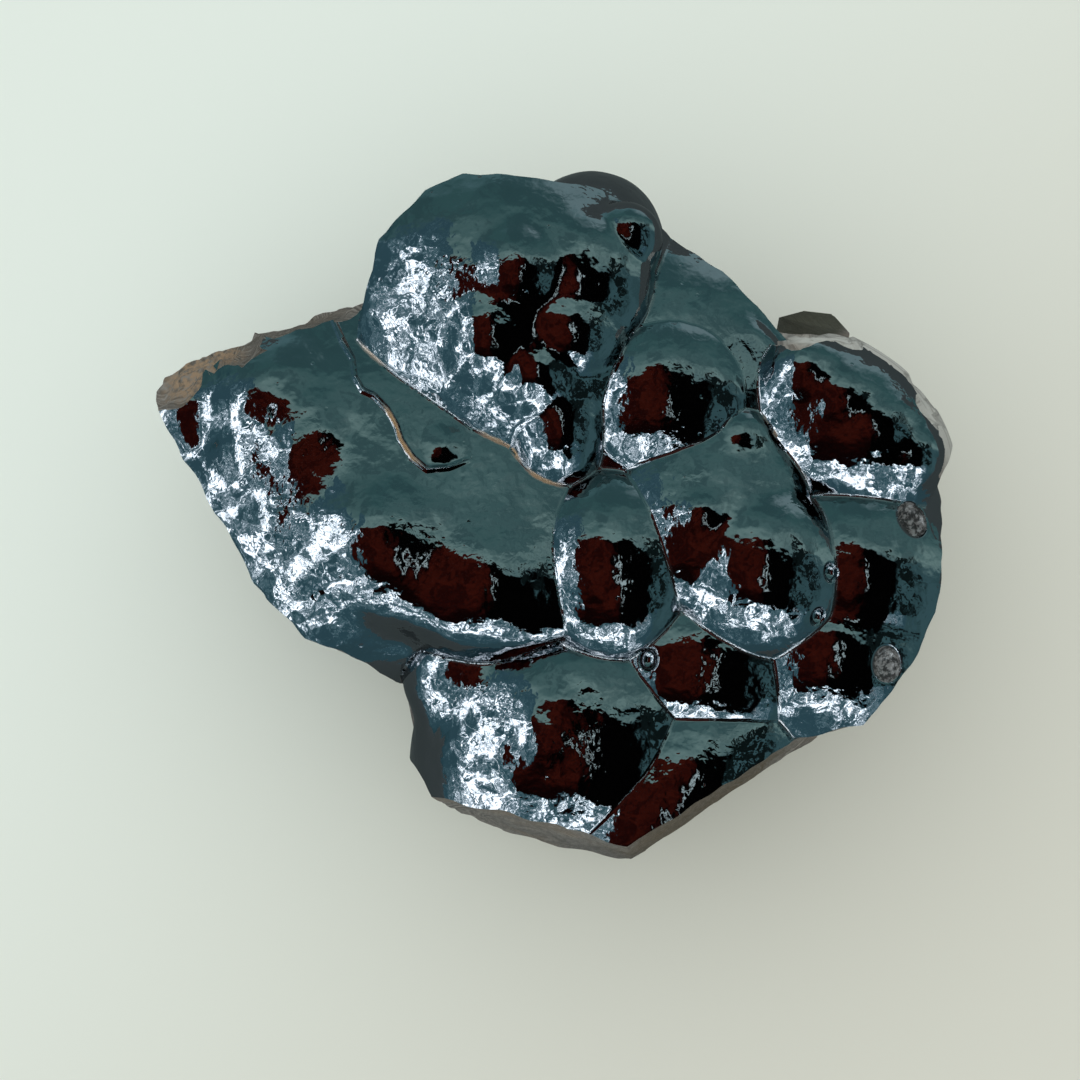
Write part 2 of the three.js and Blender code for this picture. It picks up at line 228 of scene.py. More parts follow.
def unit_ball(level):
    if level not in balls:
        bm = bmesh.new()
        bmesh.ops.create_icosphere(bm, subdivisions=level, radius=1.0)
        mesh = bpy.data.meshes.new(f"ball{level}")
        bm.to_mesh(mesh)
        bm.free()
        co = np.empty(len(mesh.vertices) * 3)
        mesh.vertices.foreach_get("co", co)
        co = co.reshape(-1, 3)
        co /= np.linalg.norm(co, axis=1, keepdims=True)
        balls[level] = (mesh, co)
    return balls[level]


def put(mesh, name):
    ob = bpy.data.objects.new(name, mesh)
    scratch.objects.link(ob)
    return ob


def ball_object(shape, name, level=None):
    centre, radii, pose, flat = shape
    if level is None:
        level = 7 if max(radii[:2]) > LARGE_LOBE else 6
    template, unit = unit_ball(level - fine)
    mesh = template.copy()
    points = centre + (unit * radii) @ pose.T
    points[:, 2] = CROWN_TOP + (points[:, 2] - CROWN_TOP) * flat
    mesh.vertices.foreach_set("co", points.ravel())
    return put(mesh, name)


def relief(across, upward, seed, kind):
    broad = np.sin(across * 0.23 + seed * 1.7) * np.cos(upward * 0.19 + seed)
    chips = np.sin(across * 0.71 + upward * 0.52 + seed * 2.3)
    small = np.sin(across * 1.37 - upward * 1.13 + seed * 4.1)
    height = upward + np.sin(across * 0.14 + seed) * 1.6
    out = kind[0] * (broad + 0.45 * chips + 0.3 * small) - kind[1] * np.floor(height / LEDGE_HEIGHT)
    grit = value_noise(np.stack([across * 0.9, upward * 0.9, across * 0 + seed * 7.3], -1))
    grit2 = value_noise(np.stack([across * 2.1, upward * 2.1, across * 0 + seed * 3.1], -1))
    return out + kind[0] * (0.25 * grit + 0.12 * grit2)


def value_noise(p):
    """Smooth noise of a place, between -1 and 1."""
    base = np.floor(p).astype(np.int64)
    t = p - base
    t = t * t * t * (t * (t * 6 - 15) + 10)
    total = np.zeros(p.shape[:-1])
    for corner in range(8):
        pick = np.array([corner & 1, corner >> 1 & 1, corner >> 2 & 1])
        cell = base + pick
        code = (cell[..., 0] * 73856093) ^ (cell[..., 1] * 19349663) ^ (cell[..., 2] * 83492791)
        code = (code ^ (code >> 13)) * 1274126177 & 0xFFFFFFFF
        value = ((code ^ (code >> 16)) & 0xFFFF) / 32767.5 - 1.0
        total += value * np.prod(np.where(pick, t, 1 - t), axis=-1)
    return total


def beyond(toward, at, lean, seed, kind, datum, name):
    """Everything beyond a rough broken face."""
    wide, high, deep = 100.0, 60.0, 40.0
    cell = FACE_CELL * (1 + fine)
    columns, rows = round(wide / cell), round(high / cell)
    across, upward = np.meshgrid(np.linspace(-wide / 2, wide / 2, columns + 1),
                                 np.linspace(-high / 2, high / 2, rows + 1))
    rough = relief(across, upward, seed, kind)
    front = np.stack([rough, across, upward], -1).reshape(-1, 3)
    n = len(front)
    index = np.arange(n).reshape(rows + 1, columns + 1)
    p, q, r, s = index[:-1, :-1], index[:-1, 1:], index[1:, 1:], index[1:, :-1]
    quads = np.stack([p, s, r, q], -1).reshape(-1, 4)
    ring = np.concatenate([index[0, :-1], index[:-1, -1], index[-1, :0:-1], index[:0:-1, 0]])
    back = front[ring].copy()
    back[:, 0] = deep
    count = len(ring)
    sides = [(ring[i], ring[(i + 1) % count], n + (i + 1) % count, n + i) for i in range(count)]
    hub = n + count
    caps = [(hub, n + i, n + (i + 1) % count) for i in range(count)]
    points = np.concatenate([front, back, [[deep, 0, 0]]])
    a, b = math.radians(lean), math.radians(toward)
    # lean back by tilting the face's outward normal up
    x = points[:, 0] * math.cos(a) - points[:, 2] * math.sin(a) + at
    y = points[:, 1]
    z = points[:, 0] * math.sin(a) + points[:, 2] * math.cos(a) + datum
    points = np.stack([x * math.cos(b) - y * math.sin(b), x * math.sin(b) + y * math.cos(b), z], -1)
    mesh = bpy.data.meshes.new(name)
    mesh.from_pydata(points.tolist(), [], quads.tolist() + sides + caps)
    return put(mesh, name)


def hull_object(corners, name):
    bm = bmesh.new()
    for corner in corners:
        bm.verts.new(corner)
    made = bmesh.ops.convex_hull(bm, input=bm.verts[:])
    loose = {e for key in ("geom_interior", "geom_unused") for e in made[key]}
    bmesh.ops.delete(bm, geom=[e for e in loose if isinstance(e, bmesh.types.BMVert)], context="VERTS")
    bmesh.ops.recalc_face_normals(bm, faces=bm.faces[:])
    mesh = bpy.data.meshes.new(name)
    bm.to_mesh(mesh)
    bm.free()
    return put(mesh, name)


def prism_object(outline, bottom, top, name):
    n = len(outline)
    points = [(x, y, bottom) for x, y in outline] + [(x, y, top) for x, y in outline]
    faces = [tuple(range(n - 1, -1, -1)), tuple(range(n, 2 * n))]
    faces += [(i, (i + 1) % n, n + (i + 1) % n, n + i) for i in range(n)]
    bm = bmesh.new()
    verts = [bm.verts.new(p) for p in points]
    for face in faces:
        bm.faces.new([verts[i] for i in face])
    bmesh.ops.triangulate(bm, faces=bm.faces[:])
    bmesh.ops.recalc_face_normals(bm, faces=bm.faces[:])
    mesh = bpy.data.meshes.new(name)
    bm.to_mesh(mesh)
    bm.free()
    return put(mesh, name)


def combine(first, others, operation):
    """One boolean with several solids; the result takes the first one's place."""
    for i, other in enumerate(others):
        step = first.modifiers.new(f"step{i}", "BOOLEAN")
        step.operation = operation
        step.solver = "MANIFOLD"
        step.object = other
    mesh = bpy.data.meshes.new_from_object(first.evaluated_get(bpy.context.evaluated_depsgraph_get()))
    first.modifiers.clear()
    first.data = mesh
    for other in others:
        bpy.data.objects.remove(other)
    return first


fine = 0      # 1 makes every ball and face coarser
shapes, groups = [], []


def block(rows, name):
    """The lobes of a block on their root, without what lies beyond its broken walls."""
    made = []
    for i, (group, *row) in enumerate(rows):
        shape = lobe(*row)
        shapes.append(shape)
        groups.append(group)
        made.append(ball_object(shape, f"{name}{i}"))
    if name in ROOTS:
        outline, top = ROOTS[name]
        mx, my = np.mean(outline, axis=0)
        narrow = [(mx + (x - mx) * ROOT_TAPER, my + (y - my) * ROOT_TAPER, ROOT_BOTTOM) for x, y in outline]
        made.append(hull_object([(x, y, top) for x, y in outline] + narrow, f"{name}_root"))
    if name == "left":
        slice_of = prism_object(LAYER_OUTLINE, 5, 40, "outline")
        made.append(combine(ball_object(layer_shape, "layer"), [slice_of], "INTERSECT"))
    whole = combine(made[0], made[1:], "UNION")
    cutters = [wall(*row, f"{name}_wall{i}") for i, row in enumerate(WALLS.get(name, []))]
    return combine(whole, cutters, "DIFFERENCE") if cutters else whole


def wall(start, end, lean, seed, kind, name):
    toward = math.atan2(end[0] - start[0], start[1] - end[1])
    at = start[0] * math.cos(toward) + start[1] * math.sin(toward)
    return beyond(math.degrees(toward), at, lean, seed, kind, WALL_DATUM, name)


layer_shape = lobe(*LAYER)
left = block(LEFT, "left")
shapes.append(layer_shape)
groups.append("G")
blocks = [block(FRONT, "front"), block(MIDDLE, "middle"), block(HIND, "hind"), block(BACK, "back"),
          block(ROW, "row"), block(RIGHT, "right")]
stone = combine(left, blocks + [hull_object(JUTTING, "jutting"), hull_object(HEART, "heart")], "UNION")
cutters = [beyond(*row, UNDER_SEED + i, TORN, UNDER_DATUM, f"under{i}") for i, row in enumerate(UNDERSIDE)]
sides = (-FAR_OUT, FAR_OUT)
rest = hull_object([(x, y, z) for x in sides for y in sides for z in (-60, 0)], "rest")
scoops = []
SCOOP_START = len(shapes)
for i, ((x, y, z), size) in enumerate(SCOOPS):
    shape = lobe((x, y, z + size), (size, size * 1.2, size), flat=1.0)
    shapes.append(shape)
    groups.append(f"scoop{i}")
    scoops.append(ball_object(shape, f"scoop{i}", 5))
stone = combine(stone, cutters + [rest] + scoops, "DIFFERENCE")

# ---------------------------------------------------------------- one triangle mesh
mesh = stone.data
mesh.calc_loop_triangles()
co = np.empty(len(mesh.vertices) * 3)
mesh.vertices.foreach_get("co", co)
co = co.reshape(-1, 3)
tri = np.empty(len(mesh.loop_triangles) * 3, np.int32)
mesh.loop_triangles.foreach_get("vertices", tri)
tri = tri.reshape(-1, 3)
bpy.data.objects.remove(stone)
for ob in list(scratch.objects):
    bpy.data.objects.remove(ob)
bpy.data.collections.remove(scratch)


def signed(points, shape):
    """Signed distance to a lobe's surface, near enough close to it, and its outward normal."""
    centre, radii, pose, flat = shape
    tall = points.copy()
    tall[..., 2] = CROWN_TOP + (tall[..., 2] - CROWN_TOP) / flat
    m = (tall - centre) @ pose / radii
    length = np.maximum(np.linalg.norm(m, axis=-1), 1e-6)
    slope = (m / (radii * length[..., None])) @ pose.T
    slope[..., 2] /= flat
    steep = np.maximum(np.linalg.norm(slope, axis=-1), 1e-9)
    return (length - 1) / steep, slope / steep[..., None]


def blended(points, group):
    """Height over the surface of a whole group, whose lobes run into each other, and its slope."""
    members = [k for k, name in enumerate(groups) if name == group]
    soft = BLEND.get(group, LONE_BLEND)
    off, way = zip(*[signed(points, shapes[k]) for k in members])
    off, way = np.array(off), np.array(way)
    least = off.min(0)
    share = np.exp(-(off - least) / soft)
    total = share.sum(0)
    return least - soft * np.log(total), (share[..., None] * way).sum(0) / total[..., None]


middle_point = co[tri].mean(1)
face = np.cross(co[tri[:, 1]] - co[tri[:, 0]], co[tri[:, 2]] - co[tri[:, 0]])
facing = face / np.maximum(np.linalg.norm(face, axis=1), TINY)[:, None]
label = np.full(len(tri), -1)
nearest = np.full(len(tri), TOUCHING)
for k, shape in enumerate(shapes):
    off, way = signed(middle_point, shape)
    off = np.where(np.abs((way * facing).sum(-1)) > ALIGNED, np.abs(off), 1.0)
    close = off < nearest
    nearest[close] = off[close]
    label[close] = k
names = sorted(set(groups))
code = np.array([names.index(name) for name in groups] + [-1])
team = code[label]

# the lobes of a group melt into each other
crown_names = [name for name in names if not name.startswith("scoop")]
touched = {name: np.unique(tri[team == names.index(name)]) for name in crown_names}
start = co.copy()
for _ in range(MELT_ROUNDS):
    for name in crown_names:
        mine = touched[name]
        if len(mine):
            height, slope = blended(co[mine], name)
            steep = np.maximum((slope ** 2).sum(-1), 0.05)
            co[mine] -= slope * np.clip(height / steep, -MELT_STEP, MELT_STEP)[:, None]
far = np.linalg.norm(co - start, axis=1) > MELT_REACH
co[far] = start[far]
middle_point = co[tri].mean(1)

# corner normals: true ones on the crown, smoothed ones on the broken faces
corner = co[tri]
normal = np.zeros_like(corner)
for name in names:
    mine = team == names.index(name)
    if mine.any():
        n = blended(corner[mine], name)[1]
        n /= np.maximum(np.linalg.norm(n, axis=-1, keepdims=True), 1e-9)
        normal[mine] = -n if name.startswith("scoop") else n
face = np.cross(corner[:, 1] - corner[:, 0], corner[:, 2] - corner[:, 0])
area = np.linalg.norm(face, axis=1)
face_unit = face / np.maximum(area, TINY)[:, None]
rough = label < 0
flat_base = rough & (face_unit[:, 2] < -0.99) & (middle_point[:, 2] < 0.01)


def from_outline(points, outline):
    """Distance in plan to a line of points."""
    best = np.full(len(points), 1e9)
    for a, b in zip(np.array(outline[:-1], float), np.array(outline[1:], float)):
        along = np.clip(((points[:, :2] - a) @ (b - a)) / ((b - a) @ (b - a)), 0, 1)
        best = np.minimum(best, np.linalg.norm(points[:, :2] - a - along[:, None] * (b - a), axis=1))
    return best


def gathered(pick, rows):
    """Unit sum, at each vertex, of the rows of the picked faces; one row a face or one a corner."""
    total = np.zeros_like(co)
    for i in range(3):
        np.add.at(total, tri[pick, i], rows[pick] if rows.ndim == 2 else rows[pick, i])
    return total / np.maximum(np.linalg.norm(total, axis=1), TINY)[:, None]


# the open edge of the young layer is the part of its outline that shows
lip_line = LAYER_OUTLINE[:LIP_POINTS]
lip = from_outline(co, lip_line)
riser = rough & (from_outline(middle_point, lip_line) < RISER_REACH)
riser &= middle_point[:, 2] > RISER_FLOOR
rough &= ~riser
soft = gathered(rough & ~flat_base, face)
normal[rough] = soft[tri[rough]]
sharp = (normal * face_unit[:, None]).sum(-1) < SHARP_EDGE
normal = np.where(((sharp.any(1) & rough) | flat_base)[:, None, None], face_unit[:, None], normal)
# the edge of the young layer is rounded
edge_way = gathered(riser, face_unit)
crown_way = gathered(label >= 0, normal)
round_way = edge_way + crown_way
round_way /= np.maximum(np.linalg.norm(round_way, axis=1), TINY)[:, None]
on_edge = np.linalg.norm(edge_way, axis=1) > 0.5
young = (team == names.index("G")) | riser
swap = young[:, None] & on_edge[tri]
normal = np.where(swap[..., None], round_way[tri], normal)

# distance from each vertex to the nearest crease, and how sharply it turns there
edge = np.sort(np.concatenate([tri[:, [0, 1]], tri[:, [1, 2]], tri[:, [2, 0]]]), axis=1)
owner = np.tile(np.arange(len(tri)), 3)
key = edge[:, 0].astype(np.int64) * len(co) + edge[:, 1]
order = np.argsort(key, kind="stable")
key, owner, edge = key[order], owner[order], edge[order]
pair = np.nonzero(key[1:] == key[:-1])[0]
one, two, ends = owner[pair], owner[pair + 1], edge[pair]
seam = (team[one] != team[two]) & (team[one] >= 0) & (team[two] >= 0)


def seam_points(pick):
    """Points along the picked edges, and how far the surface turns at each, negative on a ridge."""
    a, b = co[ends[pick, 0]], co[ends[pick, 1]]
    n1 = normal[one[pick]].mean(1)
    n2 = normal[two[pick]].mean(1)
    lengths = np.linalg.norm(n1, axis=1), np.linalg.norm(n2, axis=1)
    turn = np.arccos(np.clip((n1 * n2).sum(1) / lengths[0] / lengths[1], -1, 1))
    valley = np.sign(((middle_point[two[pick]] - middle_point[one[pick]]) * n1).sum(1))
    points, turns = [], []
    for t in CREASE_STEPS:
        points.append(a + (b - a) * t)
        turns.append(turn * np.where(valley > 0, 1, -1))
    return np.concatenate(points), np.concatenate(turns)


def nearest_of(points, values):
    """For each vertex, the distance to the nearest point and that point's value."""
    tree = kdtree.KDTree(len(points))
    for i, p in enumerate(points.tolist()):
        tree.insert(p, i)
    tree.balance()
    distance = np.empty(len(co))
    value = np.empty(len(co))
    for i, p in enumerate(co.tolist()):
        _, j, d = tree.find(p)
        distance[i] = d
        value[i] = values[j]
    return distance, value


crease_at, crease_turn = seam_points(seam)
crease_distance, crease_value = nearest_of(crease_at, crease_turn)
depth = np.full(len(co), -100.0)
for shape in shapes[:SCOOP_START]:
    depth = np.maximum(depth, -signed(co, shape)[0])
# the row's steep far side is broken, not grown, and its layers lie level
broken_side = (team == names.index("R")) & (face_unit[:, 2] < SIDE_STEEP)
broken_side &= face_unit[:, 0] + face_unit[:, 1] > 0.2
on_side = np.unique(tri[broken_side])
depth[on_side] = (CROWN_TOP - co[on_side, 2]) * SIDE_PITCH


def warp(p):
    """A gentle wander of the whole surface."""
    out = []
    for i in range(3):
        shift = np.array([11.3 * i, 5.1 * i, 17.7 * i])
        out.append(sum(size * value_noise(p / span + shift + start) for size, span, start in WANDER))
    return np.stack(out, -1)


def warped_normals(p, n):
    """The normals n at the points p, after the wander."""
    step = 0.05
    base = warp(p)
    rows = []
    for axis in range(3):
        moved = p.copy()
        moved[:, axis] += step
        rows.append((warp(moved) - base) / step)
    grad = np.stack(rows, -1)              # d warp_i / d p_j
    turn = np.eye(3) + grad
    new = np.linalg.solve(np.swapaxes(turn, 1, 2), n[..., None])[..., 0]
    return new / np.linalg.norm(new, axis=1, keepdims=True)


lift = np.clip(co[:, 2] / 2.0, 0, 1)[:, None]
normal = warped_normals(corner.reshape(-1, 3), normal.reshape(-1, 3)).reshape(-1, 3, 3)
normal[flat_base] = (0, 0, -1)
moved = co + warp(co) * lift + SEAT

fine_mesh = bpy.data.meshes.new("hematite_fine")
fine_mesh.vertices.add(len(moved))
fine_mesh.vertices.foreach_set("co", (moved * MM).ravel())
fine_mesh.loops.add(len(tri) * 3)
fine_mesh.loops.foreach_set("vertex_index", tri.ravel())
fine_mesh.polygons.add(len(tri))
fine_mesh.polygons.foreach_set("loop_start", np.arange(len(tri)) * 3)
chipped = (label >= SCOOP_START) & (label < SCOOP_START + 2)
fine_mesh.polygons.foreach_set("material_index", np.where(chipped, 2, rough | broken_side).astype(np.int32))
fine_mesh.update(calc_edges=True)
fine_mesh.polygons.foreach_set("use_smooth", np.ones(len(tri), bool))
for name, values in (("crease", crease_distance), ("turn", crease_value), ("depth", depth), ("lip", lip)):
    attribute = fine_mesh.attributes.new(name, "FLOAT", "POINT")
    attribute.data.foreach_set("value", values.astype(np.float32))
fine_mesh.normals_split_custom_set(normal.reshape(-1, 3).tolist())
hematite = bpy.data.objects.new("hematite_visual", fine_mesh)
scene.collection.objects.link(hematite)


# ---------------------------------------------------------------- node helpers
class Net:
    def __init__(self, tree):
        self.tree = tree
        tree.nodes.clear()

    def node(self, kind, **settings):
        made = self.tree.nodes.new(kind)
        for name, value in settings.items():
            setattr(made, name, value)
        return made

    def set(self, socket, value):
        if isinstance(value, bpy.types.NodeSocket):
            self.tree.links.new(value, socket)
        else:
            socket.default_value = value

    def math(self, operation, a, b=0.0):
        made = self.node("ShaderNodeMath", operation=operation)
        for socket, value in zip(made.inputs, (a, b)):
            self.set(socket, value)
        return made.outputs[0]

    def add(self, a, b):
        return self.math("ADD", a, b)

    def sub(self, a, b):
        return self.math("SUBTRACT", a, b)

    def mul(self, a, b):
        return self.math("MULTIPLY", a, b)

    def larger(self, a, b):
        return self.math("MAXIMUM", a, b)

    def ramp(self, value, low, high, to_low=0.0, to_high=1.0, smooth=True):
        made = self.node("ShaderNodeMapRange", interpolation_type="SMOOTHSTEP" if smooth else "LINEAR")
        inputs = {"Value": value, "From Min": low, "From Max": high, "To Min": to_low, "To Max": to_high}
        for name, item in inputs.items():
            self.set(made.inputs[name], item)
        return made.outputs["Result"]

    def mix(self, factor, a, b):
        made = self.node("ShaderNodeMix", data_type="RGBA")
        self.set(made.inputs[0], factor)
        self.set(made.inputs[6], a)
        self.set(made.inputs[7], b)
        return made.outputs[2]

    def noise(self, vector, scale, detail=2.0, rough=0.5, distortion=0.0):
        made = self.node("ShaderNodeTexNoise")
        self.set(made.inputs["Vector"], vector)
        inputs = {"Scale": scale, "Detail": detail, "Roughness": rough, "Distortion": distortion}
        for name, value in inputs.items():
            self.set(made.inputs[name], value)
        return made.outputs["Fac"]

    def attribute(self, name):
        return self.node("ShaderNodeAttribute", attribute_name=name).outputs["Fac"]

    def shift(self, vector, offset, scale=(1, 1, 1)):
        made = self.node("ShaderNodeMapping")
        self.set(made.inputs["Vector"], vector)
        made.inputs["Location"].default_value = offset
        made.inputs["Scale"].default_value = scale
        return made.outputs[0]

    def cells(self, vector, scale):
        made = self.node("ShaderNodeTexVoronoi", feature="F1")
        self.set(made.inputs["Vector"], vector)
        made.inputs["Scale"].default_value = scale
        return made.outputs

    def surface(self, colour, roughness, metallic=None, height=None, specular=None):
        """The finished surface, with a bump where there is a height."""
        shader = self.node("ShaderNodeBsdfPrincipled")
        self.set(shader.inputs["Base Color"], colour)
        self.set(shader.inputs["Roughness"], roughness)
        if metallic is not None:
            self.set(shader.inputs["Metallic"], metallic)
        if specular is not None:
            shader.inputs["Specular IOR Level"].default_value = specular
        if height is not None:
            bump = self.node("ShaderNodeBump")
            bump.inputs["Strength"].default_value = 1.0
            bump.inputs["Distance"].default_value = 1.0
            self.set(bump.inputs["Height"], height)
            self.set(shader.inputs["Normal"], bump.outputs["Normal"])
        out = self.node("ShaderNodeOutputMaterial")
        self.set(out.inputs["Surface"], shader.outputs[0])


def new_material(name):
    """A material, its nodes, and the place on the object."""
    material = bpy.data.materials.new(name)
    material.use_nodes = True
    net = Net(material.node_tree)
    return material, net, net.node("ShaderNodeTexCoord").outputs["Object"]


def rgb(r, g, b):
    return (r, g, b, 1.0)


def near_to(net, place, centre, low, high):
    """1 within a distance of a place on the stone, falling to 0."""
    made = net.node("ShaderNodeVectorMath", operation="DISTANCE")
    net.set(made.inputs[0], place)
    made.inputs[1].default_value = (Vector(centre) + Vector(SEAT)) * MM
    return net.ramp(made.outputs["Value"], low * MM, high * MM, 1.0, 0.0)


# ---------------------------------------------------------------- the grown surface
# Places in the creases where a brown deposit lies: x, y, reach.
DEPOSITS = [(-1.5, 2.5, 3.5), (-5.5, 8, 4), (-19, 20, 4), (31, 6.5, 4), (26.5, 10.5, 3), (2, 8, 2.5)]


def crown_material():
    material, net, place = new_material("hematite_crown")
    plan = net.shift(place, (0, 0, 0), (1, 1, 0))
    crease = net.attribute("crease")
    turn = net.attribute("turn")
    lip = net.attribute("lip")

    ragged = net.noise(place, 900, 4, 0.65)
    # the crease is rounded by a narrow fillet
    near = net.larger(net.sub(FILLET, crease), 0.0)
    lift = net.math("DIVIDE", net.mul(near, near), 2 * FILLET)
    lift = net.mul(lift, net.math("TANGENT", net.mul(turn, 0.5)))
    fillet = net.mul(lift, MM)

    # gentle waves, and a fine crinkle that is stronger in some places
    swell = net.noise(place, 210, 2, 0.5)
    ripple = net.noise(place, 480, 2, 0.5)
    crinkle = net.noise(net.shift(place, (0.1, 0.2, 0.3)), 1050, 2, 0.5, 0.4)
    rougher = net.noise(net.shift(place, (0.4, 0.1, 0.2)), 120, 2)
    strength = net.ramp(rougher, 0.35, 0.65, 0.012 * MM, 0.04 * MM)
    height = net.mul(net.sub(swell, 0.5), 0.25 * MM)
    # two places where the lobes are lumpier
    lumps = net.noise(net.shift(place, (0.7, 0.3, 0.1)), 135, 1, 0.4)
    uneven = net.larger(near_to(net, plan, (-33, 2, 0), 8, 17), near_to(net, plan, (-8, -27, 0), 4, 13))
    uneven = net.mul(net.sub(lumps, 0.5), net.mul(uneven, 1.3 * MM))
    height = net.add(height, uneven)
    height = net.add(height, net.mul(net.sub(ripple, 0.5), 0.095 * MM))
    height = net.add(height, net.mul(net.sub(crinkle, 0.5), strength))
    height = net.add(height, fillet)
    # the edge of the young layer: a ridge that fades out, and a bulge near its lower end
    bulge = near_to(net, plan, (-12.2, 7.7, 0), 0.0, 3.0)
    height = net.add(height, net.mul(bulge, 0.45 * MM))
    shown = net.sub(1.0, near_to(net, plan, (-4.2, 8.4, 0), 5.0, 8.0))
    ridge = net.mul(net.ramp(lip, 0.0, 0.5, 0.19 * MM, 0.0), shown)
    height = net.add(height, ridge)
    # small scattered pits
    pits = net.cells(place, 520.0)
    pick = net.node("ShaderNodeSeparateColor")
    net.set(pick.inputs[0], pits["Color"])
    pit = net.mul(net.ramp(pits["Distance"], 0.05, 0.16, 1.0, 0.0), net.ramp(pick.outputs[0], 0.60, 0.95))
    height = net.sub(height, net.mul(pit, 0.035 * MM))

    # brown deposit in the deeper creases and beside the ridge
    stain = net.ramp(net.add(crease, net.mul(ragged, -0.5)), -0.12, 0.2, 1.0, 0.0)
    deep = net.ramp(turn, 0.5, 1.3)
    stain = net.mul(stain, deep)
    chosen = 0.08
    for x, y, reach in DEPOSITS:
        chosen = net.larger(chosen, near_to(net, plan, (x, y, 0), reach * 0.4, reach))
    stain = net.mul(stain, chosen)
    edge = net.ramp(net.add(lip, net.mul(ragged, -0.4)), -0.1, 0.15, 1.0, 0.0)
    stain = net.larger(stain, net.mul(edge, near_to(net, plan, (-17.3, 8.5, 0), 2.5, 5)))
    steel = net.mix(net.noise(place, 260, 3), rgb(0.25, 0.265, 0.285), rgb(0.31, 0.325, 0.345))
    colour = net.mix(stain, steel, rgb(0.34, 0.22, 0.11))
    metallic = net.sub(1.0, net.mul(stain, 0.8))
    roughness = net.add(0.03, net.mul(stain, 0.5))
    net.surface(colour, roughness, metallic, height)
    return material


# ---------------------------------------------------------------- the broken faces
def broken_material():
    material, net, place = new_material("hematite_broken")
    depth_in = net.attribute("depth")
    wander = net.noise(place, 220, 3)
    layers = net.add(net.mul(depth_in, 2.4), net.mul(wander, 1.6))
    band = net.node("ShaderNodeTexNoise", noise_dimensions="1D")
    net.set(band.inputs["W"], layers)
    band.inputs["Scale"].default_value = 1.6
    band.inputs["Detail"].default_value = 4.0
    lines = band.outputs["Fac"]
    fibre = net.noise(net.shift(place, (0, 0, 0), (1, 1, 0.18)), 1600, 3, 0.6)
    blotch = net.noise(place, 110, 4, 0.6)
    # banded near the crown, duller and more massive inside
    shown = net.mul(net.ramp(lines, 0.38, 0.62), net.ramp(depth_in, 2.0, 11.0, 1.0, 0.3))
    tone = net.mix(shown, rgb(0.125, 0.118, 0.108), rgb(0.31, 0.295, 0.27))
    tone = net.mix(net.mul(net.ramp(fibre, 0.40, 0.62), 0.35), tone, rgb(0.07, 0.068, 0.066))
    tone = net.mix(net.mul(net.ramp(blotch, 0.45, 0.7), 0.6), tone, rgb(0.20, 0.155, 0.11))
    # golden-brown corner in front, dark brown wall beside the pointed end
    golden = near_to(net, place, (18, -34, 28), 9, 14)
    tone = net.mix(net.mul(golden, net.ramp(lines, 0.38, 0.6, 0.9, 0.5)), tone, rgb(0.12, 0.088, 0.048))
    brown = near_to(net, place, (-34, 18, 26), 9, 17)
    tone = net.mix(net.mul(brown, net.ramp(lines, 0.35, 0.6, 0.85, 0.5)), tone, rgb(0.062, 0.052, 0.038))
    # pale grey on the right row's rim, partly its real fibrous bands and partly a painted highlight for the
    # bright light it reflects; painted shade on the jutting block; rusty deposit at the pointed end
    pale = 0.0
    for centre in ((33, 21.5, 29.5), (38.5, 19.5, 29.5), (43, 15, 29), (45, 10, 28)):
        pale = net.larger(pale, near_to(net, place, centre, 4, 7.5))
    tone = net.mix(net.mul(pale, net.ramp(lines, 0.3, 0.55, 0.35, 1.0)), tone, rgb(0.45, 0.465, 0.44))
    # painted shade: a dark olive face on the jutting block where a facet lies in shadow
    jutting_painted_shade = near_to(net, place, (30, 25, 17.5), 4.5, 6.5)
    tone = net.mix(net.mul(jutting_painted_shade, 0.9), tone, rgb(0.040, 0.042, 0.025))
    rust = near_to(net, place, (-40, 16, 24), 3.5, 7)
    rust = net.mul(rust, net.ramp(fibre, 0.35, 0.6))
    tone = net.mix(rust, tone, rgb(0.26, 0.18, 0.11))
    height = net.add(net.mul(lines, 0.14 * MM), net.mul(fibre, 0.06 * MM))
    net.surface(tone, net.ramp(fibre, 0.3, 0.7, 0.42, 0.6), 0.0, height)
    return material


def chip_material():
    """Fresh grey rock in the two larger chips."""
    material, net, place = new_material("hematite_chip")
    grain = net.noise(place, 1500, 3, 0.7)
    lumps = net.cells(place, 1100.0)["Distance"]
    height = net.add(net.mul(grain, 0.25 * MM), net.mul(lumps, 0.35 * MM))
    tone = net.mix(net.ramp(grain, 0.42, 0.58), rgb(0.07, 0.075, 0.075), rgb(0.42, 0.43, 0.43))
    net.surface(tone, 0.35, 0.4, height)
    return material


fine_mesh.materials.append(crown_material())
fine_mesh.materials.append(broken_material())
fine_mesh.materials.append(chip_material())
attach(hematite, "root")
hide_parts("hematite")


